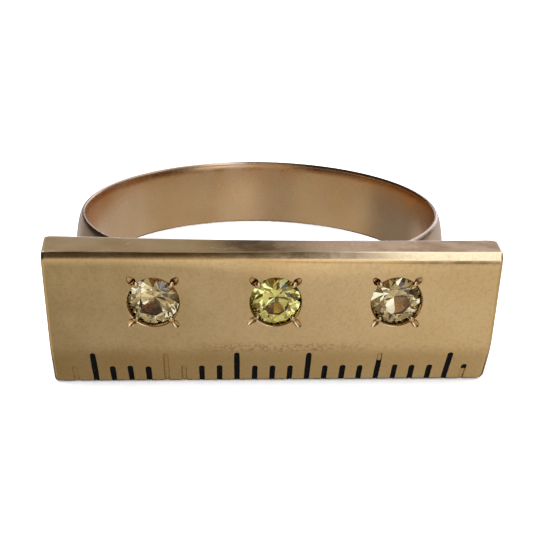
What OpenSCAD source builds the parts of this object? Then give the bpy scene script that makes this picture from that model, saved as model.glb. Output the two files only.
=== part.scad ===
// Finger ring with a bevelled rule for its head: a gold bar with three bead-set stones and
// engraved inch graduations filled with black enamel, soldered to a plain domed band.
//
// The Z axis is the axis of the finger hole and z = 0 is the middle of the band's width.
// The bar's face looks along -Y and its graduated edge is the lower one.

/* [Band] */
// Inside diameter of the band
bore_d = 19.3; // [15:0.1:22]
// Width of the band along the finger
band_w = 4.05; // [3:0.05:5]
// Thickness of the band at the top of its dome
band_crown_t = 0.64; // [0.5:0.02:1.2]
// Thickness of the band at its two rims
band_rim_t = 0.28; // [0.24:0.01:0.4]
// Rounding of the inside edge of each rim
rim_round = 0.2; // [0.05:0.01:0.2]

/* [Bar] */
// Length of the bar
bar_len = 19.5; // [19:0.1:24]
// Height of the bar, along the finger
bar_h = 6.4; // [6:0.1:8]
// Thickness of the bar at the deepest point of the hollow in its back
bar_t = 1.86; // [1.8:0.02:2.4]
// How far the bar's back sticks out past its face at each end
end_flare = 0.34; // [0:0.02:0.34]
// How far the bar's centre sits to the right of the band's centre
bar_shift = 0.2; // [0:0.05:0.4]
// How deep the band's dome is let into the hollow of the bar's back
band_bite = 0.1; // [0.06:0.02:0.16]
// Radius of the shallow hollow along the bar's back
hollow_r = 140; // [120:5:200]
// How far the deepest point of the hollow sits to the right of the band's centre
hollow_shift = 4.2; // [0:0.1:5]
// Rounding of the long edge above the face
top_edge_r = 0.3; // [0.1:0.05:0.5]
// Rounding of the upright corners at the back
back_corner_r = 0.3; // [0.15:0.05:0.5]
// Rounding of the upright corners at the face
face_corner_r = 0.12; // [0.05:0.01:0.2]
// Distance from the top edge down to the start of the ruler bevel
bevel_start = 4.5; // [4.2:0.05:4.6]
// Slope of the ruler bevel, measured from the face
bevel_angle = 24.5; // [15:0.5:30]

/* [Stones] */
// Diameter of each stone at its girdle
stone_d = 2.16; // [1.8:0.02:2.3]
// Distance between neighbouring stones
stone_pitch = 5.25; // [4:0.05:6]
// Distance from the bar's top edge down to the middle of the stones
stone_drop = 2.2; // [2:0.05:2.4]
// Offset of the row of stones from the middle of the bar
stone_row_shift = 0.06; // [0:0.02:0.2]
// Depth of the girdle below the face
girdle_depth = 0.28; // [0.2:0.02:0.4]
// Radius of the grains of metal raised over each stone
grain_r = 0.12; // [0.1:0.01:0.14]

/* [Graduations] */
// Distance between marks: one thirty-second of an inch
mark_pitch = 0.79375; // [0.7:0.01:0.8]
// Width of a mark
mark_w = 0.22; // [0.15:0.01:0.3]
// Depth of a mark
mark_depth = 0.14; // [0.1:0.01:0.2]
// How far the first mark was cut too far to the left
first_mark_slip = 0.08; // [0:0.02:0.2]
// Length of a long mark along the bevel
long_mark = 1.86; // [1.6:0.02:1.9]
// Length of a short mark along the bevel
short_mark = 1.04; // [0.8:0.02:1.3]
// How far the enamel stays below the surface
enamel_sink = 0.02; // [0:0.01:0.05]

/* [Hidden] */
$fn = 48;
bore_r = bore_d / 2;
crown_r = bore_r + band_crown_t;
// Y of the deepest point of the hollow in the bar's back, and of the bar's face
hollow_y = -crown_r + band_bite - hollow_rise(0);
face_y = hollow_y - bar_t;
top_z = bar_h / 2;
bottom_z = -bar_h / 2;
bevel_z = top_z - bevel_start;
bevel_set_back = (bevel_z - bottom_z) * tan(bevel_angle);
// Slope of the bar's two ends in plan
end_angle = atan(end_flare / bar_t);
reach = 30;

stone_r = stone_d / 2;
table_r = 0.56 * stone_r;
crown_h = 0.15 * stone_d;
girdle_t = 0.06;
pavilion_h = 0.43 * stone_d;
culet_r = 0.04;
pavilion_angle = atan(pavilion_h / (stone_r - culet_r));
// Room left round a stone, and the hole drilled below it
stone_room = 0.015;
pilot_r = 0.65;
stone_z = top_z - stone_drop;
grain_angles = [45, 135, 225, 315];
// Each grain runs across the edge of its stone, between these two distances from the middle
grain_inner = stone_r - 0.16;
grain_outer = stone_r + 0.2;
grain_sink = 0.02;
// The V-edged cut that runs out from the foot of each grain
cut_wheel_r = 0.62;
cut_depth = 0.08;
cut_ring_r = stone_r + 0.5;

mark_count = 23;
middle_mark = 12;
first_long_mark = 2;
long_mark_step = 4;
part_filled_marks = [18, 23];

function arc(x, y, r, from, to, steps = 8) =
    [for (i = [0 : steps]) let (a = from + (to - from) * i / steps) [x + r * cos(a), y + r * sin(a)]];

// How far the hollow has come up, at x, from its deepest point
function hollow_rise(x) = hollow_r - sqrt(pow(hollow_r, 2) - pow(x - hollow_shift, 2));
// X, from the middle of the bar, of the centre of a corner of radius r that touches the bar's end
function corner_x(r, y) = bar_len / 2 + ((y - face_y) * sin(end_angle) - r) / cos(end_angle);
function is_long(n) = (n - first_long_mark) % long_mark_step == 0;
function mark_slip(n) = n == 1 ? first_mark_slip : 0;
function mark_x(n) = bar_shift + (n - middle_mark) * mark_pitch - mark_slip(n);
function mark_len(n) = is_long(n) ? long_mark : short_mark;
function stone_x(k) = bar_shift + stone_row_shift + k * stone_pitch;

// Lays a shape drawn as (Y, Z) along the X axis
module along_bar() {
    rotate([90, 0, 90]) linear_extrude(reach, center = true) children();
}

// End view of the bar, drawn as (Y, Z)
module bar_end_view() {
    polygon(concat(
        [[face_y, bevel_z]],
        [[face_y + bevel_set_back, bottom_z]],
        [[0, bottom_z]],
        [[0, top_z]],
        arc(face_y + top_edge_r, top_z - top_edge_r, top_edge_r, 90, 180)
    ));
}

// Plan view of the bar: ends that flare to the back, rounded corners and a hollow back
module bar_plan() {
    middle = hollow_shift - bar_shift;
    left_y = hollow_y + hollow_rise(bar_shift - bar_len / 2) - back_corner_r;
    right_y = hollow_y + hollow_rise(bar_shift + bar_len / 2) - back_corner_r;
    left_x = -corner_x(back_corner_r, left_y);
    right_x = corner_x(back_corner_r, right_y);
    face_in = corner_x(face_corner_r, face_y + face_corner_r);
    left_angle = asin((left_x - middle) / hollow_r);
    right_angle = asin((right_x - middle) / hollow_r);
    polygon(concat(
        arc(right_x, right_y, back_corner_r, -end_angle, 90),
        arc(middle, hollow_y + hollow_r, hollow_r, 270 + right_angle, 270 + left_angle, 24),
        arc(left_x, left_y, back_corner_r, 90, 180 + end_angle),
        arc(-face_in, face_y + face_corner_r, face_corner_r, 180 + end_angle, 270, 4),
        arc(face_in, face_y + face_corner_r, face_corner_r, 270, 360 - end_angle, 4)
    ));
}

// The bar before it is drilled, set and engraved
module bar_blank() {
    intersection() {
        along_bar() bar_end_view();
        translate([bar_shift, 0, 0]) linear_extrude(2 * bar_h, center = true) bar_plan();
    }
}

// Turns a shape made about +Z so that it looks out of the face at stone k, z = 0 at the face
module at_stone(k) {
    translate([stone_x(k), face_y, stone_z]) rotate([90, 0, 0]) children();
}

// Half outline of a round brilliant, drawn as (radius, height), with some room round it
module stone_outline(room) {
    girdle_z = -girdle_depth;
    polygon([
        [0, girdle_z + crown_h + room],
        [table_r + room, girdle_z + crown_h + room],
        [stone_r + room, girdle_z + room],
        [stone_r + room, girdle_z - girdle_t - room],
        [culet_r + room, girdle_z - girdle_t - pavilion_h - room],
        [0, girdle_z - girdle_t - pavilion_h - room]
    ]);
}

module stone(k) {
    at_stone(k) rotate_extrude() stone_outline(0);
}

// The opening above the girdle, the sloping seat below it and the hole through the bar
module stone_seat(k) {
    seat_r = stone_r + stone_room;
    seat_top = -girdle_depth - girdle_t - stone_room;
    seat_h = (seat_r - pilot_r) * tan(pavilion_angle);
    at_stone(k) {
        translate([0, 0, seat_top]) cylinder(r = seat_r, h = 1);
        translate([0, 0, seat_top - seat_h]) cylinder(r1 = pilot_r, r2 = seat_r, h = seat_h);
        translate([0, 0, -2 * bar_t]) cylinder(r = pilot_r, h = 2 * bar_t - girdle_depth);
    }
}

// Leaf-shaped cuts that the graver leaves where it raises the four grains
module graver_cuts(k) {
    at_stone(k)
        for (a = grain_angles)
            rotate([0, 0, a]) translate([cut_ring_r, 0, cut_wheel_r - cut_depth]) rotate([90, 0, 0])
                rotate_extrude()
                    polygon([[0, -cut_wheel_r], [cut_wheel_r, 0], [0, cut_wheel_r]]);
}

module grains(k) {
    at_stone(k)
        for (a = grain_angles)
            rotate([0, 0, a]) translate([0, 0, -grain_sink]) {
                translate([grain_inner, 0, 0]) sphere(r = grain_r, $fn = 24);
                translate([grain_inner, 0, 0]) rotate([0, 90, 0])
                    cylinder(r = grain_r, h = grain_outer - grain_inner, $fn = 24);
                translate([grain_outer, 0, 0]) sphere(r = grain_r, $fn = 24);
            }
}

// One mark: a round-ended slot from the bevel's lower edge up the slope, between two depths
module mark_slot(n, from_depth, to_depth, length) {
    overrun = 0.5;
    straight = length - mark_w / 2;
    translate([mark_x(n), face_y + bevel_set_back, bottom_z])
        rotate([90 + bevel_angle, 0, 0]) translate([0, 0, -to_depth])
            linear_extrude(to_depth - from_depth) {
                translate([-mark_w / 2, -overrun]) square([mark_w, straight + overrun]);
                translate([0, straight]) circle(d = mark_w, $fn = 24);
            }
}

module ruler_bar() {
    color("darkkhaki") difference() {
        union() {
            difference() {
                bar_blank();
                for (k = [-1 : 1]) {
                    stone_seat(k);
                    graver_cuts(k);
                }
                for (n = [1 : mark_count]) mark_slot(n, -1, mark_depth, mark_len(n));
            }
            for (k = [-1 : 1]) grains(k);
        }
        for (k = [-1 : 1]) at_stone(k) rotate_extrude() stone_outline(stone_room);
    }
}

// Cross-section of the band, drawn as (radius, z): flat inside with rounded edges, domed outside
module band_section() {
    rise = band_crown_t - band_rim_t;
    half_w = band_w / 2;
    dome_r = (pow(half_w, 2) + pow(rise, 2)) / (2 * rise);
    half_angle = asin(half_w / dome_r);
    round_r = bore_r + rim_round;
    round_z = half_w - rim_round;
    polygon(concat(
        arc(crown_r - dome_r, 0, dome_r, -half_angle, half_angle, 12),
        arc(round_r, round_z, rim_round, 90, 180, 6),
        arc(round_r, -round_z, rim_round, 180, 270, 6)
    ));
}

module band_blank() {
    rotate_extrude($fn = 360) band_section();
}

// The band, filed to the hollow of the bar's back where the two meet
module band() {
    color("rosybrown") difference() {
        band_blank();
        bar_blank();
    }
}

// The solder that fills the narrow gap all round the place where band and bar touch
module solder_seam() {
    seam_half_w = 2.7;
    seam_half_h = band_w / 2 - 0.15;
    touch_half_w = 1.8;
    touch_half_h = 1.35;
    color("tan") difference() {
        translate([-seam_half_w, hollow_y - 0.05, -seam_half_h])
            cube([2 * seam_half_w, 1, 2 * seam_half_h]);
        translate([-touch_half_w, hollow_y - 1, -touch_half_h])
            cube([2 * touch_half_w, 3, 2 * touch_half_h]);
        bar_blank();
        band_blank();
        cylinder(r = bore_r + band_rim_t / 2, h = 2 * band_w, center = true, $fn = 360);
    }
}

module stone_left() {
    color("khaki") stone(-1);
}

module stone_centre() {
    color("yellow") stone(0);
}

module stone_right() {
    color("khaki") stone(1);
}

// The enamel left in one mark. Marks 18 and 23 have lost some of theirs.
module enamel(n) {
    tip_lost = 0.7 * long_mark;
    foot_lost = 0.7 * short_mark;
    color("black") intersection() {
        mark_slot(n, enamel_sink, mark_depth, n == part_filled_marks[0] ? tip_lost : mark_len(n));
        bar_blank();
        translate([mark_x(n) - mark_w, -reach / 2, n == part_filled_marks[1] ? bottom_z + foot_lost : -reach])
            cube([2 * mark_w, reach, reach]);
    }
}

ruler_bar();
band();
solder_seam();
stone_left();
stone_centre();
stone_right();
enamel(2);  // enamel_02
enamel(3);  // enamel_03
enamel(4);  // enamel_04
enamel(5);  // enamel_05
enamel(8);  // enamel_08
enamel(9);  // enamel_09
enamel(10);  // enamel_10
enamel(11);  // enamel_11
enamel(12);  // enamel_12
enamel(13);  // enamel_13
enamel(14);  // enamel_14
enamel(15);  // enamel_15
enamel(16);  // enamel_16
enamel(17);  // enamel_17
enamel(18);  // enamel_18
enamel(19);  // enamel_19
enamel(20);  // enamel_20
enamel(21);  // enamel_21
enamel(22);  // enamel_22
enamel(23);  // enamel_23
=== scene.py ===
"""Looks for a gold finger ring whose head is a bevelled ruler bar.

The bar is set with three round stones and engraved with enamelled graduations. Lengths are in
millimetres until a mesh or a position is handed to Blender, which works in metres.
"""
import math
import random

import bmesh
import bpy
from mathutils import Matrix, Vector, noise


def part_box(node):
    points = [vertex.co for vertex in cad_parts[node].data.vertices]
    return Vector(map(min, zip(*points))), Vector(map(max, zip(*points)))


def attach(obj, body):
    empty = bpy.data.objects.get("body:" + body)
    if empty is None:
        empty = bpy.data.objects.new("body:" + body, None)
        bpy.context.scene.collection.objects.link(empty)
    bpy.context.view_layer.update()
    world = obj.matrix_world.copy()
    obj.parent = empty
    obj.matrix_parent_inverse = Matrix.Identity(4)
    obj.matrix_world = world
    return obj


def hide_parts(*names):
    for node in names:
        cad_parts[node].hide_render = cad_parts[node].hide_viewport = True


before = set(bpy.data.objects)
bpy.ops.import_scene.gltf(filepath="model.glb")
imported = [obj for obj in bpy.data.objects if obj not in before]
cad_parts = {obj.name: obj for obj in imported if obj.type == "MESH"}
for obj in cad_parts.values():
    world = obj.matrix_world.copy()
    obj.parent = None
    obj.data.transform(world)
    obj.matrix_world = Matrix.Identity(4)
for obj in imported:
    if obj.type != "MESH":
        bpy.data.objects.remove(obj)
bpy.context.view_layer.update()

MM = 0.001
BODY = "root"
SEED = 11


def box_mm(node):
    low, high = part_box(node)
    return low / MM, high / MM


# ---------------------------------------------------------------- sizes, from the frame

bar_low, bar_high = box_mm("ruler_bar")
band_high = box_mm("band")[1]

# The band
CROWN_R = band_high.x
BAND_CROWN_T = 0.64
BAND_RIM_T = 0.28
BORE_R = CROWN_R - BAND_CROWN_T
BAND_HALF = band_high.z
# Its upper edge is worn soft, far down the inside, and both are rounded over the shoulder outside
UPPER_EDGE = {"inward": 0.16, "down": 0.62}
LOWER_EDGE = {"inward": 0.10, "down": 0.14}
SHOULDER = 0.75
BACK_LIFT = 0.15
# The unevenness of filing, and how far the outside stays in to leave room for it
FILING_WAVE = 0.012
FILING_RIPPLE = 0.004
FILING_ROOM = 0.014

# The bar: a flat face, a hollow back, and ends that flare towards the back
BAR_X = 0.2
BAR_HALF = 9.75
TOP_Z = bar_high.z
BOTTOM_Z = bar_low.z
BAR_T = 1.86
BAND_BITE = 0.1
HOLLOW_R = 140.0
HOLLOW_X = 4.2
HOLLOW_Y = BAND_BITE - CROWN_R - (HOLLOW_R - math.sqrt(HOLLOW_R**2 - HOLLOW_X**2))
FACE_Y = HOLLOW_Y - BAR_T
END_SLOPE = 0.28 / BAR_T
END_TAPER = 0.06 / TOP_Z
END_REACH = 2.0
# Its edges, left (-1) and right (1) where they differ, and its bevel
TOP_EDGE_DEEP = {-1: 0.46, 1: 0.30}
TOP_EDGE_HIGH = {-1: 0.26, 1: 0.50}
TOP_EDGE_DEEP_UNTIL = -2.0
# Polishing has leaned the top of the face back a little, and furthest down it round LEAN_X
TOP_LEAN = math.radians(5.5)
LEAN_LEN = {"away": 0.3, "middle": 1.0}
LEAN_X = 2.0
LEAN_SPREAD = 4.0
SMALL_EDGE_R = 0.07
BACK_EDGE_R = 0.06
FACE_CORNER_R = 0.12
BACK_CORNER_R = {-1: 0.34, 1: 0.42}
LOW_CORNER_R = {-1: 0.18, 1: 0.32}
TOP_CORNER_R = 0.1
CORNER_SPLIT_DEPTH = 1.0
BEVEL_START = 4.5
BEVEL_ANGLE = math.radians(24.5)
CREASE_Z = TOP_Z - BEVEL_START
CREASE_LEN = 1.05
BEVEL_BACK = (CREASE_Z - BOTTOM_Z) * math.tan(BEVEL_ANGLE)

# The graduations
MARK_W = 0.22
MARK_DEPTH = 0.14
BARE_DEPTH = 0.08
LONG_MARK = 1.86
LONG_MARK_GROWTH = 0.11
LONG_MARK_EVERY = 4
FIRST_LONG_MARK = 2
SHORT_MARK = 1.04
MARK_COUNT = 23
# Two filled marks that give the spacing of them all
SPACING_MARKS = (2, 22)
BARE_MARKS = (1, 6, 7)
FILLED_MARKS = [n for n in range(1, MARK_COUNT + 1) if n not in BARE_MARKS]
# One mark keeps enamel only above a height, and another only below one
ENAMEL_FROM = {23: 0.7 * SHORT_MARK}
ENAMEL_TO = {18: 0.66 * LONG_MARK}
FIRST_MARK_SLIP = 0.08
# A mark's cutter starts this far below the bar's lower edge, so the mark is open there
OPEN_END = -0.5
ENAMEL_SINK = 0.015
MARK_SHAKE = 0.012

# The stones, with their turn and tilt in degrees, and their grains
STONES = {
    "left": {"turn": 12, "tilt": (0.0, -2.0), "gem": "champagne"},
    "centre": {"turn": 16, "tilt": (-3.0, -1.5), "gem": "lemon"},
    "right": {"turn": 27, "tilt": (-3.0, 0.0), "gem": "champagne"},
}
GIRDLE_DEPTH = 0.28
GIRDLE_T = 0.06
TABLE_SHARE = 0.56
CROWN_SHARE = 0.3
PAVILION_ANGLE = 41.0
PAVILION_HALF_ANGLE = 42.6
STAR_FLATTER = 13.0
CROWN_HALF_STEEPER = 6.5
SEAT_ROOM = 0.03
PILOT_R = 0.65
GRAIN_ANGLES = [45, 135, 225, 315]


def mark_x(number):
    """X of a mark: the filled ones come from the frame, the bare ones keep their spacing."""
    first, last = SPACING_MARKS
    boxes = [box_mm(f"enamel_{n:02d}") for n in SPACING_MARKS]
    x_first, x_last = ((low.x + high.x) / 2 for low, high in boxes)
    slip = FIRST_MARK_SLIP if number == 1 else 0.0
    return x_first + (number - first) * (x_last - x_first) / (last - first) - slip


def stone_place(which):
    """(centre x, centre z, radius) of a stone."""
    low, high = box_mm(f"stone_{which}")
    return (low.x + high.x) / 2, (low.z + high.z) / 2, (high.x - low.x) / 2


# ---------------------------------------------------------------- mesh helpers


def smoothstep(low, high, value):
    t = min(max((value - low) / (high - low), 0.0), 1.0)
    return t * t * (3 - 2 * t)


def arc(cx, cy, radius, start, end, steps):
    """Points on an arc from start to end, in degrees, with both of them."""
    angles = [math.radians(start + (end - start) * i / steps) for i in range(steps + 1)]
    return [(cx + radius * math.cos(a), cy + radius * math.sin(a)) for a in angles]


def line(start, end, steps):
    """Points from start to end, without the last one."""
    return [tuple(a + (b - a) * i / steps for a, b in zip(start, end)) for i in range(steps)]


def curve(start, middle, end, steps):
    """Points on a quadratic curve from start towards end, without the last one."""
    points = []
    for i in range(steps):
        t = i / steps
        shares = (1 - t) ** 2, 2 * t * (1 - t), t * t
        corners = zip(start, middle, end)
        points.append(tuple(shares[0] * a + shares[1] * b + shares[2] * c for a, b, c in corners))
    return points


def blend(start, end, share):
    """A value this share of the way from start to end."""
    return start + (end - start) * share


def loft(rings, closed_path=False):
    """A closed solid through rings of points with equal counts: (points, faces)."""
    count = len(rings[0])
    points = [p for ring in rings for p in ring]
    faces = []
    spans = len(rings) if closed_path else len(rings) - 1
    for i in range(spans):
        a, b = i * count, ((i + 1) % len(rings)) * count
        for j in range(count):
            k = (j + 1) % count
            faces.append((a + j, a + k, b + k, b + j))
    if not closed_path:
        faces.append(tuple(reversed(range(count))))
        faces.append(tuple(range(len(points) - count, len(points))))
    return points, faces


def object_from(bm, name):
    """A new object in the scene with a bmesh's mesh."""
    mesh = bpy.data.meshes.new(name)
    bm.to_mesh(mesh)
    bm.free()
    obj = bpy.data.objects.new(name, mesh)
    bpy.context.scene.collection.objects.link(obj)
    return obj


def make_object(name, solids):
    """One mesh object from a list of (points, faces) in millimetres, with outward normals."""
    bm = bmesh.new()
    for points, faces in solids:
        verts = [bm.verts.new([c * MM for c in p]) for p in points]
        for face in faces:
            bm.faces.new([verts[i] for i in face])
    bmesh.ops.recalc_face_normals(bm, faces=bm.faces)
    return object_from(bm, name)


def boolean(target, tool, operation):
    """Applies one boolean to target and removes the tool."""
    modifier = target.modifiers.new("cut", "BOOLEAN")
    modifier.operation = operation
    modifier.object = tool
    modifier.solver = "MANIFOLD"
    apply_modifiers(target)
    bpy.data.objects.remove(tool)


def apply_modifiers(obj):
    """Makes the modified mesh the object's own."""
    graph = bpy.context.evaluated_depsgraph_get()
    mesh = bpy.data.meshes.new_from_object(obj.evaluated_get(graph))
    obj.modifiers.clear()
    obj.data = mesh


def shade(obj, sharp_degrees):
    """Smooth shading, with edges steeper than this angle kept sharp."""
    obj.data.polygons.foreach_set("use_smooth", [True] * len(obj.data.polygons))
    obj.data.set_sharp_from_angle(angle=math.radians(sharp_degrees))


def finish_piece(obj, node, material):
    """Gives a piece its material, attaches it to the body and hides the CAD node that it replaces."""
    obj.data.materials.clear()
    obj.data.materials.append(material)
    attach(obj, BODY)
    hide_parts(node)


# ---------------------------------------------------------------- the bar


def hollow_back(x):
    """Y of the bar's back at x."""
    return HOLLOW_Y + HOLLOW_R - math.sqrt(HOLLOW_R**2 - (x - HOLLOW_X) ** 2)


def bar_top_view(x):
    """(y, z) over the long rounded edge at x and down the leaning top of the face, ending on the face."""
    all_along = smoothstep(-BAR_HALF, BAR_HALF, x - BAR_X)
    at_left = smoothstep(-BAR_HALF, TOP_EDGE_DEEP_UNTIL, x - BAR_X)
    high = blend(TOP_EDGE_HIGH[-1], TOP_EDGE_HIGH[1], all_along)
    deep = blend(TOP_EDGE_DEEP[-1], TOP_EDGE_DEEP[1], at_left)
    near_middle = math.exp(-(((x - LEAN_X) / LEAN_SPREAD) ** 2))
    lean_len = blend(LEAN_LEN["away"], LEAN_LEN["middle"], near_middle)
    lean_back = TOP_LEAN * lean_len / 2
    # The edge is part of an ellipse, down to where it meets the leaning top of the face
    edge_end = math.atan(deep / high / math.tan(TOP_LEAN))
    edge_steps, lean_steps = 15, 9
    points = []
    for i in range(edge_steps):
        a = edge_end * i / edge_steps
        points.append((FACE_Y + lean_back + deep * (1 - math.sin(a)), TOP_Z - high * (1 - math.cos(a))))
    face_top_z = TOP_Z - high * (1 - math.cos(edge_end))
    for i in range(lean_steps):
        t = 1 - i / lean_steps
        points.append((FACE_Y + lean_back * t * t, face_top_z - lean_len * (1 - t)))
    return points + [(FACE_Y, face_top_z - lean_len)]


def bar_end_view(x):
    """The bar's outline at x as (y, z), all the way round, starting at the long rounded edge."""
    back = hollow_back(x)
    *top, face_top = bar_top_view(x)
    slope = (math.sin(BEVEL_ANGLE), -math.cos(BEVEL_ANGLE))
    crease_top = (FACE_Y, CREASE_Z + CREASE_LEN / 2)
    crease_low = tuple(c + d * CREASE_LEN / 2 for c, d in zip((FACE_Y, CREASE_Z), slope))
    low = (FACE_Y + BEVEL_BACK, BOTTOM_Z)
    bevel_low = tuple(c - d * SMALL_EDGE_R for c, d in zip(low, slope))
    low_in = (low[0] + SMALL_EDGE_R, BOTTOM_Z)
    r = BACK_EDGE_R
    return (
        top
        + line(face_top, crease_top, 12)
        + curve(crease_top, (FACE_Y, CREASE_Z), crease_low, 9)
        + line(crease_low, bevel_low, 7)
        + curve(bevel_low, low, low_in, 4)
        + line(low_in, (back - r, BOTTOM_Z), 5)
        + curve((back - r, BOTTOM_Z), (back, BOTTOM_Z), (back, BOTTOM_Z + r), 4)
        + line((back, BOTTOM_Z + r), (back, TOP_Z - r), 14)
        + curve((back, TOP_Z - r), (back, TOP_Z), (back - r, TOP_Z), 4)
        + line((back - r, TOP_Z), top[0], 8)
    )


def corner_inset(radius, distance):
    """How far a corner of this radius has come in at this distance from the end."""
    if distance >= radius:
        return 0.0
    return radius - math.sqrt(radius**2 - (radius - distance) ** 2)


def squeeze(value, fixed, edge, inset):
    """Moves value towards fixed so that edge comes in by inset."""
    return fixed + (value - fixed) * (abs(edge - fixed) - inset) / abs(edge - fixed)


def bar_ring(x):
    """The outline at x, drawn in at the bar's two ends, which flare to the back and the top."""
    side = 1 if x > BAR_X else -1
    distance = BAR_HALF - abs(x - BAR_X)
    back = hollow_back(x)
    # The corners are drawn in towards a line inside the bar
    split_y, split_z = FACE_Y + CORNER_SPLIT_DEPTH, 0.0
    near_end = side * smoothstep(BAR_HALF - END_REACH, BAR_HALF, abs(x - BAR_X))
    ring = []
    for y, z in bar_end_view(x):
        if y <= split_y:
            y = squeeze(y, split_y, FACE_Y, corner_inset(FACE_CORNER_R, distance))
        else:
            y = squeeze(y, split_y, back, corner_inset(BACK_CORNER_R[side], distance))
        if z > split_z:
            z = squeeze(z, split_z, TOP_Z, corner_inset(TOP_CORNER_R, distance))
        else:
            z = squeeze(z, split_z, BOTTOM_Z, corner_inset(LOW_CORNER_R[side], distance))
        ring.append((x + near_end * (END_SLOPE * (y - FACE_Y) + END_TAPER * z), y, z))
    return ring


def bar_stations():
    """X of each outline along the bar, closer together round the corners at its ends."""
    corner = BACK_CORNER_R[1]
    ends = [corner * (1 - math.cos(math.radians(a))) for a in range(0, 90, 10)]
    inner = BAR_HALF - corner
    count = 78
    middle = [-inner + 2 * inner * i / count for i in range(count + 1)]
    left = [-BAR_HALF + e for e in ends]
    right = [BAR_HALF - e for e in reversed(ends)]
    return [BAR_X + x for x in left + middle + right]


def bar_blank():
    """The bar before it is drilled, engraved and set."""
    blank = make_object("ring_bar", [loft([bar_ring(x) for x in bar_stations()])])
    # Hand-finished faces are never dead flat
    swell, wave = 0.003, 2.4
    normals = [v.normal.copy() for v in blank.data.vertices]
    for vertex, normal in zip(blank.data.vertices, normals):
        place = vertex.co / (MM * wave)
        wander = noise.noise(place + Vector((3.1, 7.7, 1.3))) - 1.0
        vertex.co += normal * wander * swell * MM
    return blank


def bevel_point(x, up, out):
    """A point by the bevel: up its slope from the lower edge, and out from its surface."""
    s, c = math.sin(BEVEL_ANGLE), math.cos(BEVEL_ANGLE)
    return (x, FACE_Y + BEVEL_BACK - s * up - c * out, BOTTOM_Z + c * up - s * out)


class Mark:
    """One engraved mark, with the small errors of a hand-cut line."""

    def __init__(self, number):
        rng = random.Random(SEED * 100 + number)
        self.number = number
        self.x = mark_x(number)
        self.half_w = MARK_W / 2 * rng.uniform(0.99, 1.11)
        # The long marks grow a little towards the left end
        is_long = number % LONG_MARK_EVERY == FIRST_LONG_MARK
        full = LONG_MARK + LONG_MARK_GROWTH * (1 - number / MARK_COUNT) if is_long else SHORT_MARK
        self.length = full + rng.uniform(-0.035, 0.03)
        self.lean = rng.uniform(-0.012, 0.012)
        self.wobble = rng.uniform(0.0, 10.0)

    def shake(self, across, up):
        """How far the tool has wandered to the side at a place in the mark."""
        return noise.noise(Vector((across * 6, up * 3.5, self.wobble))) * MARK_SHAKE

    def outline(self, grow, bottom, top_end):
        """Points (across, up) round the mark, from the lower right, over the round top."""
        half = self.half_w + grow
        straight = top_end - self.half_w
        side = line((half, bottom), (half, straight), 8)
        top = arc(0.0, straight, half, 0, 180, 12)
        other = line((-half, straight), (-half, bottom), 8)[1:] + [(-half, bottom)]
        points = side + top + other
        return [(across + self.shake(across, up) + self.lean * up, up) for across, up in points]

    def slot(self, levels, bottom=OPEN_END, top_end=None):
        """A cutter through outlines at (growth, height above the bevel)."""
        rings = []
        for grow, out in levels:
            outline = self.outline(grow, bottom, top_end or self.length)
            rings.append([bevel_point(self.x + across, up, out) for across, up in outline])
        return loft(rings)


def enamel_slot(mark):
    """The deep slot that holds a mark's enamel."""
    levels = [
        (0.05, 0.15),
        (0.014, 0.0),
        (0.002, -0.018),
        (-0.012, -MARK_DEPTH + 0.03),
        (-0.045, -MARK_DEPTH),
    ]
    return mark.slot(levels, ENAMEL_FROM.get(mark.number, OPEN_END), ENAMEL_TO.get(mark.number))


def bare_slot(mark):
    """A shallow groove with a flat bottom, where there is no enamel."""
    levels = [
        (0.05, 0.15),
        (0.012, 0.0),
        (0.0, -0.012),
        (-0.026, 0.012 - BARE_DEPTH),
        (-0.044, -BARE_DEPTH),
    ]
    return mark.slot(levels)


def revolve_at_stone(which, profile):
    """Turns (radius, depth) about a stone's axis. Depth runs into the bar from its face."""
    cx, cz, _ = stone_place(which)
    steps = 64
    turns = [2 * math.pi * i / steps for i in range(steps)]
    rings = []
    for radius, depth in profile:
        ring = [(cx + radius * math.cos(t), FACE_Y + depth, cz + radius * math.sin(t)) for t in turns]
        rings.append(ring)
    return loft(rings)


def seat_cutter(which):
    """A seat with a worn rim, a straight wall, and a cone down to a hole through the bar."""
    radius = stone_place(which)[2] + SEAT_ROOM
    seat = GIRDLE_DEPTH + GIRDLE_T + SEAT_ROOM
    fall = (radius - PILOT_R) * 0.86
    return revolve_at_stone(
        which,
        [
            (radius + 0.07, -0.3),
            (radius + 0.055, -0.001),
            (radius + 0.03, 0.012),
            (radius + 0.012, 0.035),
            (radius, 0.08),
            (radius, seat),
            (PILOT_R, seat + fall),
            (PILOT_R, BAR_T + 0.8),
        ],
    )


def stone_room(which):
    """The space that a stone needs under its grains."""
    radius = stone_place(which)[2]
    table = TABLE_SHARE * radius
    crown = CROWN_SHARE * radius
    room = SEAT_ROOM
    return revolve_at_stone(
        which,
        [
            (0.05, GIRDLE_DEPTH - crown - room),
            (table + room, GIRDLE_DEPTH - crown - room),
            (radius + room, GIRDLE_DEPTH - room),
            (radius + room, GIRDLE_DEPTH + GIRDLE_T),
            (0.05, GIRDLE_DEPTH + GIRDLE_T + 0.1),
        ],
    )


def at_grain(which, angle, radial, across, depth):
    """A point near a grain: out from the stone's middle, across, and into the bar."""
    cx, cz, _ = stone_place(which)
    a = math.radians(angle)
    x = cx + radial * math.cos(a) - across * math.sin(a)
    z = cz + radial * math.sin(a) + across * math.cos(a)
    return (x, FACE_Y + depth, z)


def grain_shape(which, angle):
    """Errors of hand setting: (turn, size, reach) of one grain and its cut."""
    rng = random.Random(f"{SEED}{which}{angle}")
    return rng.uniform(-5, 5), rng.uniform(0.88, 1.12), rng.uniform(-0.03, 0.05)


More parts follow.
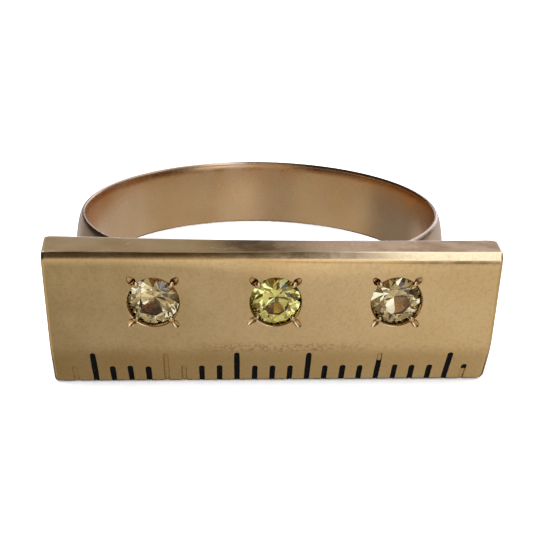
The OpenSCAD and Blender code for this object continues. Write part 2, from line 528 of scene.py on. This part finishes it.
def graver_cut(which, angle):
    """The leaf-shaped cut behind a grain: deepest at the grain, shallow at its outer end."""
    radius = stone_place(which)[2]
    turn, size, reach = grain_shape(which, angle)
    start, end = radius + 0.07, radius + 0.49 + reach
    widest, deepest, least = 0.16 * size, 0.17 * size, 0.004
    rings = []
    count = 12
    for i in range(count + 1):
        t = i / count
        width = widest * math.sqrt(max(1 - t**2.2, 0.0)) * (0.6 + 0.4 * min(t * 3, 1)) + least
        depth = deepest * (1 - t) ** 0.7 * (0.5 + 0.5 * min(t * 4, 1)) + least
        radial = start + (end - start) * t
        section = [(width * 1.15, -0.12), (width * 1.1, -0.004)]
        for j in range(1, 8):
            a = math.pi * j / 8
            section.append((width * math.cos(a), depth * math.sin(a)))
        section += [(-width * 1.1, -0.004), (-width * 1.15, -0.12)]
        rings.append([at_grain(which, angle + turn, radial, u, d) for u, d in section])
    return loft(rings)


def grain(which, angle):
    """A raised, round-topped grain of the bar's own metal that leans over the stone."""
    radius = stone_place(which)[2]
    turn, size, _ = grain_shape(which, angle)
    long_r, wide_r, tall_r = 0.16 * size, 0.13 * size, 0.136 * size
    middle_depth, lean_share = 0.04, 0.3
    rings = []
    steps, around = 10, 18
    for i in range(1, steps):
        lat = math.pi * i / steps
        ring = []
        for j in range(around):
            lon = 2 * math.pi * j / around
            out = long_r * math.sin(lat) * math.cos(lon)
            across = wide_r * math.sin(lat) * math.sin(lon)
            depth = middle_depth - tall_r * math.cos(lat)
            lean = lean_share * (middle_depth - depth)
            ring.append(at_grain(which, angle + turn, radius + 0.02 + out - lean, across, depth))
        rings.append(ring)
    return loft(rings)


def make_bar(marks):
    """The bar with its seats, marks, graver cuts and grains."""
    bar = bar_blank()
    seats = [seat_cutter(which) for which in STONES]
    chipped = [mark for mark in marks if mark.number in [*ENAMEL_FROM, *ENAMEL_TO]]
    full = [mark for mark in marks if mark.number in FILLED_MARKS and mark not in chipped]
    slots = [enamel_slot(mark) if mark in full else bare_slot(mark) for mark in marks]
    boolean(bar, make_object("seats_and_marks", seats + slots), "DIFFERENCE")
    # A chipped mark is a bare groove, and is deeper only where its enamel is left
    cuts = [graver_cut(which, angle) for which in STONES for angle in GRAIN_ANGLES]
    cuts += [enamel_slot(mark) for mark in chipped]
    boolean(bar, make_object("graver_cuts", cuts), "DIFFERENCE")
    grains = [grain(which, angle) for which in STONES for angle in GRAIN_ANGLES]
    boolean(bar, make_object("grains", grains), "UNION")
    boolean(bar, make_object("stone_rooms", [stone_room(which) for which in STONES]), "DIFFERENCE")
    shade(bar, 24)
    return bar


# ---------------------------------------------------------------- the band


def band_edge(dome_end, dome_slope, edge):
    """(radius, z) from the dome's end over the shoulder and down the worn inside."""
    r, z = dome_end
    top = (BORE_R + edge["inward"], BAND_HALF)
    points = curve(dome_end, (r - dome_slope * (BAND_HALF - z), BAND_HALF), top, 7)[1:]
    for i in range(17):
        a = math.radians(90 * (1 - i / 16))
        radius = BORE_R + edge["inward"] * (1 - math.cos(a))
        points.append((radius, BAND_HALF - edge["down"] * (1 - math.sin(a))))
    return points


def band_section():
    """(radius, z) round the band's section: flat inside with soft edges, domed outside."""
    rise = BAND_CROWN_T - BAND_RIM_T
    dome_r = (BAND_HALF**2 + rise**2) / (2 * rise)
    half_angle = math.asin((BAND_HALF - SHOULDER) / dome_r)
    dome = arc(CROWN_R - dome_r, 0, dome_r, -math.degrees(half_angle), math.degrees(half_angle), 26)
    upper = band_edge(dome[-1], math.tan(half_angle), UPPER_EDGE)
    lower = [(r, -z) for r, z in reversed(band_edge(dome[-1], math.tan(half_angle), LOWER_EDGE))]
    inside = line(upper[-1], lower[0], 8)[1:]
    return dome + upper + inside + lower


def band_point(angle, radius, z):
    """A point of the band, with the slight unevenness of hand filing, flat against the bar."""
    x, y = radius * math.cos(angle), radius * math.sin(angle)
    bump = noise.noise(Vector((x * 0.16, y * 0.16, z * 0.5 + 4.0))) * FILING_WAVE
    bump += noise.noise(Vector((x * 0.5, y * 0.5, z * 0.9 + 9.0))) * FILING_RIPPLE
    outside = radius > BORE_R + 0.05
    scale = (radius - FILING_ROOM + bump) / radius if outside else 1 + bump / radius
    x, y = x * scale, y * scale
    if y < 0:
        y = max(y, hollow_back(x))
    # The band is a little wider behind, at its upper edge
    lift = BACK_LIFT * max(y / CROWN_R, 0.0) ** 2 * (0.5 + 0.5 * z / BAND_HALF)
    return (x, y, z + lift)


def make_band():
    """The band's section, carried all the way round."""
    steps = 288
    section = band_section()
    rings = [[band_point(2 * math.pi * i / steps, r, z) for r, z in section] for i in range(steps)]
    band = make_object("ring_band", [loft(rings, closed_path=True)])
    shade(band, 40)
    return band


# ---------------------------------------------------------------- the solder


def band_front(x, z):
    """Y of the band's outside, in front, at (x, z)."""
    rise = BAND_CROWN_T - BAND_RIM_T
    drop = rise * (z / BAND_HALF) ** 2
    return -math.sqrt((CROWN_R - drop) ** 2 - x * x)


def make_solder():
    """A lumpy fillet all round the place where the band touches the bar's hollow back."""
    reach_x, reach_z = 2.6, BAND_HALF - 0.17
    inner_share = 0.62
    sunk = 0.02
    steps, across = 96, 8
    rings = []
    for i in range(steps):
        a = 2 * math.pi * i / steps
        lump = 1 + 0.05 * noise.noise(Vector((math.cos(a) * 2.0, math.sin(a) * 2.0, 5.0)))
        x, z = math.cos(a) * reach_x * lump, math.sin(a) * reach_z
        bar_y, band_y = hollow_back(x) - sunk, band_front(x, z) + sunk
        ring = []
        for j in range(across + 1):
            t = j / across
            pull = 0.10 * math.sin(math.pi * t)
            ring.append((x * (1 - pull), bar_y + (band_y - bar_y) * t, z * (1 - pull)))
        x, z = x * inner_share, z * inner_share
        ring.append((x, band_front(x, z) + 2 * sunk, z))
        ring.append((x, hollow_back(x) - 2 * sunk, z))
        rings.append(ring)
    solder = make_object("solder_fillet", [loft(rings, closed_path=True)])
    shade(solder, 50)
    return solder


# ---------------------------------------------------------------- the enamel


def make_enamel(mark):
    """The enamel in one mark: a shallow meniscus between the walls, open at the lower edge."""
    start = ENAMEL_FROM.get(mark.number, 0.012)
    end = ENAMEL_TO.get(mark.number, mark.length)
    across_steps, up_steps = 8, 22
    half = mark.half_w - 0.001
    floor_share, floor_gap = 0.86, 0.012
    sag_depth, lump_height = 0.012, 0.007
    top, low = [], []
    for i in range(up_steps + 1):
        t = i / up_steps
        up = start + (end - start) * t
        room = end - up
        wall = half
        if room < mark.half_w:
            wall = half * math.sqrt(max(1 - (1 - room / mark.half_w) ** 2, 0.0)) + 0.004
        row_top, row_low = [], []
        for j in range(across_steps + 1):
            u = -1 + 2 * j / across_steps
            x = mark.x + u * wall + mark.shake(u * half, up) + mark.lean * up
            x_low = mark.x + u * wall * floor_share + mark.lean * up
            sag = sag_depth * (1 - u * u)
            lump = noise.noise(Vector((x * 5, up * 4, 2.0))) * lump_height
            row_top.append(bevel_point(x, up, -ENAMEL_SINK - sag + lump))
            row_low.append(bevel_point(x_low, up, -MARK_DEPTH + floor_gap))
        top.append(row_top)
        low.append(row_low)
    rings = [t_row + list(reversed(l_row)) for t_row, l_row in zip(top, low)]
    enamel = make_object(f"enamel_fill_{mark.number:02d}", [loft(rings)])
    shade(enamel, 45)
    return enamel


# ---------------------------------------------------------------- the stones


def facet_planes(radius):
    """Planes of a round brilliant as (point, outward normal), girdle at height 0."""
    table_r, crown_h = TABLE_SHARE * radius, CROWN_SHARE * radius
    half_girdle = GIRDLE_T / 2

    def plane(azimuth, slope, distance, height):
        a, s = math.radians(azimuth), math.radians(slope)
        normal = Vector((math.sin(s) * math.cos(a), math.sin(s) * math.sin(a), math.cos(s)))
        return Vector((distance * math.cos(a), distance * math.sin(a), height)), normal

    planes = [(Vector((0, 0, crown_h + half_girdle)), Vector((0, 0, 1)))]
    crown_slope = math.degrees(math.atan(crown_h / (radius - table_r)))
    star_r = table_r * math.cos(math.radians(22.5))
    crown_half_slope = crown_slope + CROWN_HALF_STEEPER
    for main in range(0, 360, 45):
        planes.append(plane(main, crown_slope, radius, half_girdle))
        planes.append(plane(main + 22.5, crown_slope - STAR_FLATTER, star_r, crown_h + half_girdle))
        planes.append(plane(main, 180 - PAVILION_ANGLE, radius, -half_girdle))
        for side in (-11.25, 11.25):
            planes.append(plane(main + side, crown_half_slope, radius * 0.995, half_girdle))
            planes.append(plane(main + side, 180 - PAVILION_HALF_ANGLE, radius * 0.998, -half_girdle))
    return planes


def make_stone(which):
    """A round brilliant cut out of a short cylinder, one facet at a time."""
    cx, cz, radius = stone_place(which)
    turn = math.radians(STONES[which]["turn"])
    tilt = [math.radians(angle) for angle in STONES[which]["tilt"]]
    bm = bmesh.new()
    bmesh.ops.create_cone(
        bm, cap_ends=True, segments=64, radius1=radius, radius2=radius, depth=2.4 * radius
    )
    for point, normal in facet_planes(radius):
        geometry = bm.verts[:] + bm.edges[:] + bm.faces[:]
        cut = bmesh.ops.bisect_plane(
            bm, geom=geometry, dist=1e-6, plane_co=point, plane_no=normal, clear_outer=True
        )
        rim = [e for e in cut["geom_cut"] if isinstance(e, bmesh.types.BMEdge)]
        if len(rim) > 2:
            bmesh.ops.edgeloop_fill(bm, edges=rim)
    bmesh.ops.recalc_face_normals(bm, faces=bm.faces)
    lean = Matrix.Rotation(tilt[0], 4, "X") @ Matrix.Rotation(tilt[1], 4, "Y")
    place = (
        Matrix.Translation((cx, FACE_Y + GIRDLE_DEPTH + GIRDLE_T / 2, cz))
        @ Matrix.Rotation(math.radians(90), 4, "X")
        @ lean
        @ Matrix.Rotation(turn, 4, "Z")
    )
    bm.transform(Matrix.Scale(MM, 4) @ place)
    return object_from(bm, f"gem_{which}")


# ---------------------------------------------------------------- material helpers


class Nodes:
    """A short way to write a node tree."""

    def __init__(self, name):
        self.material = bpy.data.materials.new(name)
        self.material.use_nodes = True
        self.tree = self.material.node_tree
        self.shader = self.tree.nodes["Principled BSDF"]

    def add(self, kind, settings=None, **inputs):
        """A new node, with its settings and the values or links of its inputs."""
        node = self.tree.nodes.new(kind)
        for key, value in (settings or {}).items():
            setattr(node, key, value)
        for key, value in inputs.items():
            self.set(node, key.replace("_", " "), value)
        return node

    def set(self, node, socket, value):
        """Sets or links an input, which is given by its name or its number."""
        target = node.inputs[int(socket)] if socket.isdigit() else node.inputs[socket]
        if isinstance(value, bpy.types.NodeSocket):
            self.tree.links.new(value, target)
        else:
            target.default_value = value

    def math(self, operation, a, b=0.0):
        node = self.tree.nodes.new("ShaderNodeMath")
        node.operation = operation
        self.set(node, "0", a)
        self.set(node, "1", b)
        return node.outputs[0]

    def mix_colour(self, factor, a, b, kind="MIX"):
        node = self.tree.nodes.new("ShaderNodeMix")
        node.data_type = "RGBA"
        node.blend_type = kind
        self.set(node, "0", factor)
        self.set(node, "6", a)
        self.set(node, "7", b)
        return node.outputs[2]

    def remap(self, value, low, high, to_low=0.0, to_high=1.0, smooth=True):
        """to_low where value is low or less, to_high where it is high or more."""
        node = self.tree.nodes.new("ShaderNodeMapRange")
        node.interpolation_type = "SMOOTHSTEP" if smooth else "LINEAR"
        self.set(node, "0", value)
        for index, number in ((1, low), (2, high), (3, to_low), (4, to_high)):
            self.set(node, str(index), number)
        return node.outputs[0]

    def position(self, scale=(1, 1, 1), turn=(0, 0, 0)):
        """Object coordinates in millimetres, turned and then scaled."""
        coordinates = self.add("ShaderNodeTexCoord").outputs["Object"]
        turned = self.add("ShaderNodeMapping", Vector=coordinates)
        turned.inputs["Rotation"].default_value = [math.radians(t) for t in turn]
        turned.inputs["Scale"].default_value = [1 / MM] * 3
        stretched = self.add("ShaderNodeMapping", Vector=turned.outputs[0])
        stretched.inputs["Scale"].default_value = scale
        return stretched.outputs[0]

    def noise(self, vector, scale, detail, roughness=0.5):
        amounts = {"Scale": scale, "Detail": detail, "Roughness": roughness}
        return self.add("ShaderNodeTexNoise", Vector=vector, **amounts).outputs[0]

    def scratches(self, turn, stretch, low, high):
        """Fine long scratches in one direction: 1 on a scratch."""
        vector = self.position(scale=stretch, turn=turn)
        return self.remap(self.noise(vector, 1.0, 3.0, 0.6), low, high)

    def bump(self, height, distance_mm, strength, normal=None):
        node = self.add("ShaderNodeBump", Strength=strength, Distance=distance_mm * MM, Height=height)
        if normal is not None:
            self.set(node, "Normal", normal)
        return node.outputs[0]


def rgba(r, g, b):
    return (r, g, b, 1.0)


# ---------------------------------------------------------------- materials

# Dark brown for the deepest hollows: partly dirt, partly painted shade.
DIRT_AND_SHADE = rgba(0.09, 0.045, 0.02)
GEM_IOR = 1.76


def gold(
    name,
    colour,
    deep,
    pale,
    roughness,
    grain_tone=0.22,
    satin=0.0014,
    scratch=0.3,
    grime_and_shade=1.0,
    worn_crease=False,
):
    """Worn gold: uneven tone, satin haze, fine scratches, and tarnish, dirt and painted shade in the
    crevices.
    """
    n = Nodes(name)
    plain = n.position()
    cloud = n.noise(plain, 0.45, 3.0, 0.55)
    fine = n.noise(plain, 7.0, 4.0, 0.7)
    tone = n.mix_colour(n.remap(cloud, 0.32, 0.68), colour, pale)
    tone = n.mix_colour(n.remap(fine, 0.42, 0.75, 0.0, grain_tone), tone, deep)
    # Hollows found by ambient occlusion turn darker and browner: partly tarnish and dirt, partly painted
    # shade in the crevices, seats and graver cuts.
    crevice = n.add("ShaderNodeAmbientOcclusion", {"samples": 8}, Distance=0.15 * MM)
    tarnish_and_shade = n.remap(crevice.outputs["AO"], 0.25, 0.8, 0.75 * grime_and_shade, 0.0)
    tone = n.mix_colour(tarnish_and_shade, tone, deep)
    dirt_and_shade = n.remap(crevice.outputs["AO"], 0.35, 0.9, 0.92 * grime_and_shade, 0.0)
    tone = n.mix_colour(dirt_and_shade, tone, DIRT_AND_SHADE)
    along = n.scratches((0, 3, 0), (0.35, 8, 24), 0.64, 0.72)
    across = n.scratches((0, 78, 0), (0.5, 9, 30), 0.66, 0.74)
    stray = n.scratches((0, -33, 0), (0.3, 7, 20), 0.68, 0.76)
    scratches = n.math("MAXIMUM", n.math("MAXIMUM", along, across), stray)
    haze = n.remap(n.noise(plain, 0.9, 4.0, 0.6), 0.3, 0.75, roughness[0], roughness[1])
    rough = n.math("ADD", haze, n.math("MULTIPLY", scratches, 0.27 * scratch))
    rough = n.math("ADD", rough, n.math("MULTIPLY", tarnish_and_shade, 0.2))
    grainy = n.bump(n.noise(plain, 9.0, 3.0, 0.6), satin, 0.4)
    normal = n.bump(scratches, 0.001, scratch, grainy)
    if worn_crease:
        tone, normal = add_crease_pits(n, tone, deep, normal)
    n.set(n.shader, "Base Color", tone)
    n.set(n.shader, "Metallic", 1.0)
    n.set(n.shader, "Roughness", rough)
    n.set(n.shader, "Normal", normal)
    return n.material


def add_crease_pits(n, tone, deep, normal):
    """Tiny brown pits along the crease where the bevel begins, thickest near the bar's middle."""
    split = n.add("ShaderNodeSeparateXYZ", Vector=n.position())
    off = n.math("ABSOLUTE", n.math("SUBTRACT", split.outputs["Z"], CREASE_Z + 0.12))
    near = n.remap(off, 0.08, 0.36, 1.0, 0.0)
    aside = n.math("ABSOLUTE", n.math("SUBTRACT", split.outputs["X"], BAR_X + 0.3))
    middle = n.remap(aside, 1.2, 4.5, 1.0, 0.25)
    dots = n.noise(n.position((1, 1, 1.5)), 7.0, 3.0, 0.7)
    pits = n.math("MULTIPLY", n.math("MULTIPLY", near, middle), n.remap(dots, 0.46, 0.6))
    tone = n.mix_colour(n.math("MULTIPLY", pits, 0.6), tone, deep)
    return tone, n.bump(n.math("SUBTRACT", 1.0, pits), 0.004, 0.35, normal)


def gem(name, colour):
    """Clear faceted stone, with a warm shine."""
    n = Nodes(name)
    n.set(n.shader, "Base Color", colour)
    n.set(n.shader, "Roughness", 0.0)
    n.set(n.shader, "IOR", GEM_IOR)
    n.set(n.shader, "Transmission Weight", 1.0)
    n.set(n.shader, "Specular Tint", rgba(1.0, 0.84, 0.62))
    return n.material


def black_enamel():
    """Dull black enamel with a little dust in it."""
    n = Nodes("black_enamel")
    plain = n.position()
    dust = n.remap(n.noise(plain, 7.0, 4.0, 0.65), 0.5, 0.8, 0.0, 0.5)
    tone = n.mix_colour(dust, rgba(0.0025, 0.0025, 0.0028), rgba(0.022, 0.018, 0.012))
    n.set(n.shader, "Base Color", tone)
    n.set(n.shader, "Roughness", n.remap(n.noise(plain, 5.0, 3.0), 0.3, 0.8, 0.15, 0.45))
    n.set(n.shader, "Specular IOR Level", 0.04)
    n.set(n.shader, "Normal", n.bump(n.noise(plain, 9.0, 4.0, 0.6), 0.004, 0.5))
    return n.material


# ---------------------------------------------------------------- the set


FLOOR_R = 1500.0
PAPER_WHITE = rgba(2.2, 2.2, 2.2)
WINDOW_LIGHT = rgba(1.5, 1.82, 2.7)
WINDOW_EDGE_LIGHT = rgba(0.80, 0.90, 1.35)
LEFT_WINDOW_LIGHT = rgba(2.2, 2.5, 3.6)
PALE_LIGHT = rgba(1.4, 1.6, 2.2)
DARK_CORNER = rgba(0.12, 0.09, 0.065)


def make_floor():
    """A pale floor under the bar's lower back edge and the far lower edge of the band."""
    front = Vector((0.0, FACE_Y + BAR_T, BOTTOM_Z))
    behind = Vector((0.0, BORE_R + BAND_RIM_T, -BAND_HALF))
    tilt = math.atan2(behind.z - front.z, behind.y - front.y)
    bm = bmesh.new()
    bmesh.ops.create_circle(bm, cap_ends=True, segments=96, radius=FLOOR_R * MM)
    turn = Matrix.Rotation(tilt, 4, "X")
    bm.transform(Matrix.Translation(front * MM) @ turn)
    floor = object_from(bm, "floor")
    n = Nodes("floor_paper")
    n.set(n.shader, "Base Color", rgba(0.95, 0.95, 0.95))
    n.set(n.shader, "Roughness", 0.9)
    n.set(n.shader, "Specular IOR Level", 0.0)
    floor.data.materials.append(n.material)
    # The metal mirrors the studio of make_world instead, which has this floor's brightness in it
    floor.visible_glossy = False
    floor.visible_transmission = False


def soft_box(name, centre, aim, size, radiance):
    """A white rectangular area light of the given radiance, millimetre sizes."""
    light = bpy.data.lights.new(name, "AREA")
    light.shape = "RECTANGLE"
    light.size, light.size_y = size[0] * MM, size[1] * MM
    light.energy = radiance * math.pi * light.size * light.size_y
    lamp = bpy.data.objects.new(name, light)
    direction = Vector(aim) - Vector(centre)
    lamp.rotation_euler = direction.to_track_quat("-Z", "Y").to_euler()
    lamp.location = Vector(centre) * MM
    lamp.visible_glossy = False
    bpy.context.scene.collection.objects.link(lamp)


class WorldNodes(Nodes):
    """The node tree of the world, with the direction of view split into x, y and z."""

    def __init__(self):
        world = bpy.data.worlds.new("studio")
        bpy.context.scene.world = world
        world.use_nodes = True
        self.tree = world.node_tree
        self.background = self.tree.nodes["Background"]
        direction = self.add("ShaderNodeTexCoord").outputs["Generated"]
        split = self.add("ShaderNodeSeparateXYZ", Vector=direction)
        self.x, self.y, self.z = (split.outputs[axis] for axis in "XYZ")

    def span(self, value, low, high, soft):
        """1 where value lies between low and high, with soft ends."""
        rise = self.remap(value, low - soft, low + soft)
        fall = self.remap(value, high - soft, high + soft, 1.0, 0.0)
        return self.math("MULTIPLY", rise, fall)

    def mix_number(self, factor, a, b):
        node = self.tree.nodes.new("ShaderNodeMix")
        self.set(node, "0", factor)
        self.set(node, "2", a)
        self.set(node, "3", b)
        return node.outputs[0]

    def scale(self, colour, factor):
        return self.mix_colour(1.0, colour, factor, kind="MULTIPLY")


# In the mirrored studio x, y and z are a direction's parts, from -1 to 1: x runs to the right,
# y away from the camera and z up. "Aside" is x without its sign.


def beside_doorway(w):
    """0 in front of the doorway, where nothing pale stands, and 1 to both sides."""
    return w.math("SUBTRACT", 1.0, w.span(w.x, 0.0, 0.15, 0.02))


def right_corner(w):
    """1 in a narrow upright strip to the right, where the room's front corner is dark."""
    return w.span(w.x, 0.21, 0.37, 0.04)


def mirrored_near_floor(w, aside):
    """The floor in front: brighter to the right and towards the horizon."""
    near = w.mix_colour(w.remap(w.x, -0.30, 0.34), rgba(0.315, 0.315, 0.315), rgba(0.66, 0.66, 0.68))
    below = w.mix_colour(w.remap(w.x, -0.25, 0.10), rgba(0.76, 0.70, 0.58), rgba(0.69, 0.65, 0.56))
    below = w.mix_colour(w.remap(w.z, -0.97, -0.60), below, rgba(1.0, 1.0, 1.0))
    near = w.scale(near, below)
    rise = w.math("MULTIPLY", w.remap(w.z, -0.36, -0.12, 0.0, 0.8), w.remap(w.x, 0.10, 0.24, 1.0, 0.45))
    near = w.scale(near, w.math("ADD", rise, 1.0))
    dip = w.math("MULTIPLY", w.span(w.z, -0.12, -0.03, 0.03), w.span(w.x, 0.05, 0.18, 0.03))
    near = w.mix_colour(dip, near, rgba(0.40, 0.36, 0.30))
    near = w.mix_colour(w.remap(aside, 0.34, 0.48), near, rgba(0.53, 0.51, 0.47))
    dark_end = w.math("MULTIPLY", right_corner(w), w.remap(w.z, -0.20, -0.13))
    return w.mix_colour(dark_end, near, DARK_CORNER)


def mirrored_far_floor(w, aside):
    """The floor behind: dim to the left and underneath, and glowing at the horizon."""
    far = w.mix_colour(w.remap(w.x, -0.3, 0.5), rgba(0.42, 0.42, 0.44), rgba(0.58, 0.60, 0.66))
    far = w.mix_colour(w.remap(w.x, -0.42, -0.28), rgba(0.53, 0.53, 0.56), far)
    far = w.mix_colour(w.remap(w.x, -0.66, -0.54), rgba(0.27, 0.27, 0.29), far)
    far = w.mix_colour(w.remap(w.z, -0.75, -0.50), rgba(0.07, 0.05, 0.035), far)
    glow = w.math("MULTIPLY", w.remap(w.z, -0.16, -0.02), w.remap(aside, 0.40, 0.60, 1.0, 0.0))
    return w.mix_colour(w.math("MULTIPLY", glow, beside_doorway(w)), far, PALE_LIGHT)


def mirrored_wall(w):
    """The wall behind, with a dark doorway, a pale skirting and a frieze."""
    right = w.mix_colour(w.remap(w.x, 0.10, 0.30), rgba(0.50, 0.47, 0.55), rgba(0.365, 0.315, 0.325))
    wall = w.mix_colour(w.remap(w.x, 0.0, 0.10), rgba(0.315, 0.29, 0.245), right)
    doorway = w.math("MULTIPLY", w.remap(w.x, -0.03, 0.005), w.remap(w.x, 0.045, 0.12, 1.0, 0.0))
    wall = w.mix_colour(doorway, wall, rgba(0.07, 0.06, 0.05))
    skirting = w.math("MULTIPLY", w.remap(w.x, -0.35, -0.25), w.remap(w.z, 0.12, 0.20, 1.0, 0.0))
    wall = w.mix_colour(w.math("MULTIPLY", skirting, beside_doorway(w)), wall, PALE_LIGHT)
    frieze = w.mix_colour(w.remap(w.x, 0.0, 0.15), rgba(0.50, 0.46, 0.42), rgba(0.85, 0.80, 0.76))
    return w.mix_colour(w.remap(w.z, 0.43, 0.47), wall, frieze)


def mirrored_front(w):
    """The room in front: bright low down, dark overhead, with a dark corner to the right."""
    slow = w.remap(w.z, 0.0, 0.92, smooth=False)
    quick = w.remap(w.z, 0.22, 0.42)
    rise = w.mix_number(w.remap(w.x, 0.0, 0.06), slow, quick)
    low = w.mix_colour(w.remap(w.x, 0.0, 0.15), rgba(0.62, 0.57, 0.50), rgba(1.15, 1.12, 1.10))
    high = w.mix_colour(w.remap(w.x, 0.10, 0.16), rgba(0.08, 0.065, 0.05), rgba(0.20, 0.17, 0.13))
    return w.mix_colour(right_corner(w), w.mix_colour(rise, low, high), DARK_CORNER)


def right_window(w):
    """1 in the big window: it starts further right overhead, and its sill is lower in front."""
    across = w.math("ADD", w.x, w.remap(w.y, 0.30, 0.45, -0.025, 0.0))
    above = w.math("ADD", w.z, w.remap(w.y, 0.0, 0.25, 0.32, 0.0))
    pane = w.math("MULTIPLY", w.remap(across, 0.13, 0.18), w.remap(above, 0.40, 0.48))
    side_pane = w.math("MULTIPLY", w.remap(w.x, 0.36, 0.46), w.remap(w.z, 0.12, 0.20))
    side_pane = w.math("MULTIPLY", side_pane, w.remap(w.y, 0.0, 0.2))
    pier = w.math("MULTIPLY", w.remap(w.x, 0.50, 0.60), w.remap(w.y, -0.35, -0.20, 1.0, 0.0))
    return w.math("MULTIPLY", w.math("MAXIMUM", pane, side_pane), w.math("SUBTRACT", 1.0, pier))


def left_window(w):
    """1 in a small window at the upper left, behind."""
    pane = w.math("MULTIPLY", w.span(w.x, -0.43, -0.24, 0.02), w.span(w.z, 0.40, 0.54, 0.03))
    return w.math("MULTIPLY", pane, w.remap(w.y, 0.0, 0.2))


def mirrored_room(w):
    """A dim room with a big window at the upper right and a small one at the left."""
    ceiling = w.mix_colour(w.remap(w.x, 0.03, 0.08), rgba(0.045, 0.038, 0.03), rgba(0.13, 0.11, 0.09))
    # Over the middle of the bar the ceiling starts later and reaches further to the front
    forward = w.math("MULTIPLY", w.remap(w.x, -0.18, -0.05), w.remap(w.x, 0.03, 0.08, 1.0, 0.0))
    height = w.math("SUBTRACT", w.z, w.math("MULTIPLY", forward, 0.25))
    rear = w.mix_colour(w.remap(height, 0.46, 0.57), mirrored_wall(w), ceiling)
    depth = w.math("ADD", w.y, w.math("MULTIPLY", forward, 0.45))
    room = w.mix_colour(w.remap(depth, 0.28, 0.50), mirrored_front(w), rear)
    daylight = w.mix_colour(w.remap(w.x, 0.42, 0.62), WINDOW_LIGHT, WINDOW_EDGE_LIGHT)
    room = w.mix_colour(right_window(w), room, daylight)
    dim_left = w.remap(w.x, -0.45, -0.30, 1.0, 0.0)
    room = w.mix_colour(dim_left, room, rgba(0.03, 0.028, 0.028))
    room = w.mix_colour(left_window(w), room, LEFT_WINDOW_LIGHT)
    right_end = w.math("MULTIPLY", w.remap(w.x, 0.66, 0.76), w.remap(w.z, 0.22, 0.34, 1.0, 0.0))
    return w.mix_colour(right_end, room, rgba(0.05, 0.045, 0.045))


def mirrored_studio(w):
    """What the polished metal sees all round it."""
    aside = w.math("ABSOLUTE", w.x)
    behind = w.remap(w.y, -0.08, 0.08)
    floor = w.mix_colour(behind, mirrored_near_floor(w, aside), mirrored_far_floor(w, aside))
    return w.mix_colour(w.remap(w.z, -0.02, 0.02), floor, mirrored_room(w))


def make_world():
    """Plain white light for the floor and the background, and a studio for the metal to mirror."""
    w = WorldNodes()
    ray = w.add("ShaderNodeLightPath").outputs
    plain = w.math("MAXIMUM", ray["Is Camera Ray"], ray["Is Diffuse Ray"])
    w.set(w.background, "Color", w.mix_colour(plain, mirrored_studio(w), PAPER_WHITE))
    w.set(w.background, "Strength", 1.0)


def make_lights():
    soft_box("key", centre=(95, -10, 140), aim=(0, 0, 0), size=(120, 120), radiance=1.3)


# The camera's angles in degrees, its distance, and its aim from the middle of the upper edge
CAMERA_AZIMUTH = -2.77
CAMERA_ELEVATION = 20.29
CAMERA_ROLL = 0.94
CAMERA_DISTANCE = 33.67
CAMERA_AIM = (-0.373, -0.516)
CAMERA_LENS = 54.03


def make_camera():
    a, e, r = (math.radians(v) for v in (CAMERA_AZIMUTH, CAMERA_ELEVATION, CAMERA_ROLL))
    back = Vector((math.sin(a) * math.cos(e), -math.cos(a) * math.cos(e), math.sin(e)))
    right = Vector((0, 0, 1)).cross(back).normalized()
    up = back.cross(right)
    right, up = math.cos(r) * right + math.sin(r) * up, math.cos(r) * up - math.sin(r) * right
    aim = Vector((BAR_X, FACE_Y, TOP_Z)) + CAMERA_AIM[0] * right + CAMERA_AIM[1] * up
    place = Matrix((right, up, back)).transposed().to_4x4()
    place.translation = (aim + back * CAMERA_DISTANCE) * MM
    data = bpy.data.cameras.new("camera")
    data.sensor_width = 36.0
    data.lens = CAMERA_LENS
    data.clip_start = 0.001
    data.clip_end = 10.0
    camera = bpy.data.objects.new("camera", data)
    camera.matrix_world = place
    bpy.context.scene.collection.objects.link(camera)
    bpy.context.scene.camera = camera


def set_look():
    scene = bpy.context.scene
    scene.view_settings.view_transform = "Standard"
    scene.view_settings.look = "None"
    scene.cycles.max_bounces = 16
    scene.cycles.glossy_bounces = 8
    scene.cycles.transmission_bounces = 12
    scene.cycles.sample_clamp_indirect = 6.0


# ---------------------------------------------------------------- put it together

BAR_GOLD = gold(
    "bar_gold",
    colour=rgba(0.80, 0.545, 0.245),
    deep=rgba(0.42, 0.22, 0.08),
    pale=rgba(0.86, 0.60, 0.29),
    roughness=(0.15, 0.26),
    grain_tone=0.26,
    worn_crease=True,
)
# The band's gold is rosier than the bar's, and about a tenth darker as painted shade for the shade inside
# the ring and on its sides.
BAND_GOLD_WITH_SHADE = gold(
    "band_gold",
    colour=rgba(0.71, 0.455, 0.232),
    deep=rgba(0.42, 0.26, 0.13),
    pale=rgba(0.77, 0.52, 0.29),
    roughness=(0.23, 0.33),
    grain_tone=0.10,
    satin=0.0006,
    scratch=0.06,
    grime_and_shade=0.0,
)
SOLDER = gold(
    "solder_gold",
    colour=rgba(0.82, 0.62, 0.34),
    deep=rgba(0.40, 0.25, 0.12),
    pale=rgba(0.86, 0.70, 0.42),
    roughness=(0.32, 0.5),
)
GEMS = {
    "champagne": gem("champagne_gem", rgba(0.715, 0.54, 0.25)),
    "lemon": gem("lemon_gem", rgba(0.82, 0.70, 0.19)),
}
ENAMEL = black_enamel()

all_marks = [Mark(number) for number in range(1, MARK_COUNT + 1)]
finish_piece(make_bar(all_marks), "ruler_bar", BAR_GOLD)
finish_piece(make_band(), "band", BAND_GOLD_WITH_SHADE)
finish_piece(make_solder(), "solder_seam", SOLDER)
for mark in all_marks:
    if mark.number in FILLED_MARKS:
        finish_piece(make_enamel(mark), f"enamel_{mark.number:02d}", ENAMEL)
for which, look in STONES.items():
    finish_piece(make_stone(which), f"stone_{which}", GEMS[look["gem"]])

make_floor()
make_world()
make_lights()
make_camera()
set_look()
